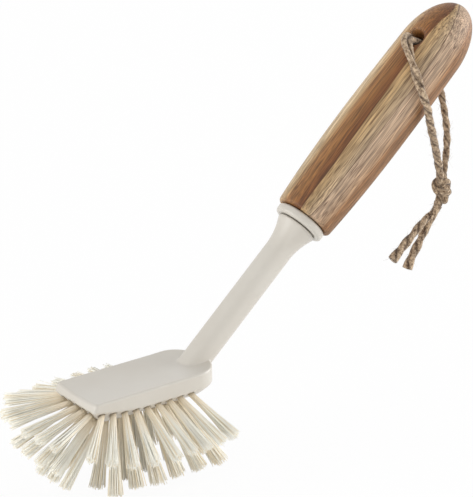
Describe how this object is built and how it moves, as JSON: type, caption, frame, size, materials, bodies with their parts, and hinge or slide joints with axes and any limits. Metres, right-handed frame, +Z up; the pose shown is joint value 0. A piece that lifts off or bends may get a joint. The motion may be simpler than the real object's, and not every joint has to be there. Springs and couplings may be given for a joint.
{
  "type": "pot brush",
  "caption": "Pot brush: a domed wooden handle with a twine hanging loop on a slanted plastic neck, and a flat head with stiff bristle tufts fanned out round its front, sides and underside.",
  "frame": {"origin": "under the middle of the brush without its loop, on the plane of the lowest bristle tips", "axes": "+Z up with the head's plate level as in the picture, +X from the bristle head towards the raised end of the handle, +Y to the far side"},
  "size_m": [0.2342, 0.0778, 0.1775],
  "materials": {
    "cream_plastic": "satin",
    "bristle": "matte",
    "steel": "plain wire",
    "wood": "oiled",
    "jute": "matte"
  },
  "bodies": {
    "brush": {"head_moulding": "cream_plastic", "bristles_front": "bristle", "bristles_near": "bristle", "bristles_far": "bristle", "bristles_middle": "bristle", "anchor_01": "steel", "anchor_02": "steel", "anchor_03": "steel", "anchor_04": "steel", "anchor_05": "steel", "anchor_06": "steel", "anchor_07": "steel", "anchor_08": "steel", "anchor_09": "steel", "anchor_10": "steel", "anchor_11": "steel", "anchor_12": "steel", "anchor_13": "steel", "anchor_14": "steel", "anchor_15": "steel", "anchor_16": "steel", "anchor_17": "steel", "anchor_18": "steel", "anchor_19": "steel", "anchor_20": "steel", "anchor_21": "steel", "anchor_22": "steel", "anchor_23": "steel", "anchor_24": "steel", "anchor_25": "steel", "anchor_26": "steel", "anchor_27": "steel", "anchor_28": "steel", "anchor_29": "steel", "anchor_30": "steel", "anchor_31": "steel", "anchor_32": "steel", "anchor_33": "steel", "anchor_34": "steel", "anchor_35": "steel", "anchor_36": "steel", "anchor_37": "steel", "anchor_38": "steel", "anchor_39": "steel", "anchor_40": "steel", "anchor_41": "steel", "anchor_42": "steel", "anchor_43": "steel", "anchor_44": "steel", "anchor_45": "steel", "anchor_46": "steel", "anchor_47": "steel", "collar_ring": "cream_plastic", "handle": "wood"},
    "hang_loop": {"loop_strand_near": "jute", "loop_strand_far": "jute", "loop_knot": "jute", "loop_tail_long": "jute", "loop_tail_short": "jute"}
  },
  "joints": [
    {"name": "loop_swing", "type": "hinge", "parent": "brush", "child": "hang_loop", "pos_m": [0.09468, -0.00125, 0.15638], "axis": [-0.66, -0.1392, 0.7382], "range_deg": [0, 60]}
  ]
}
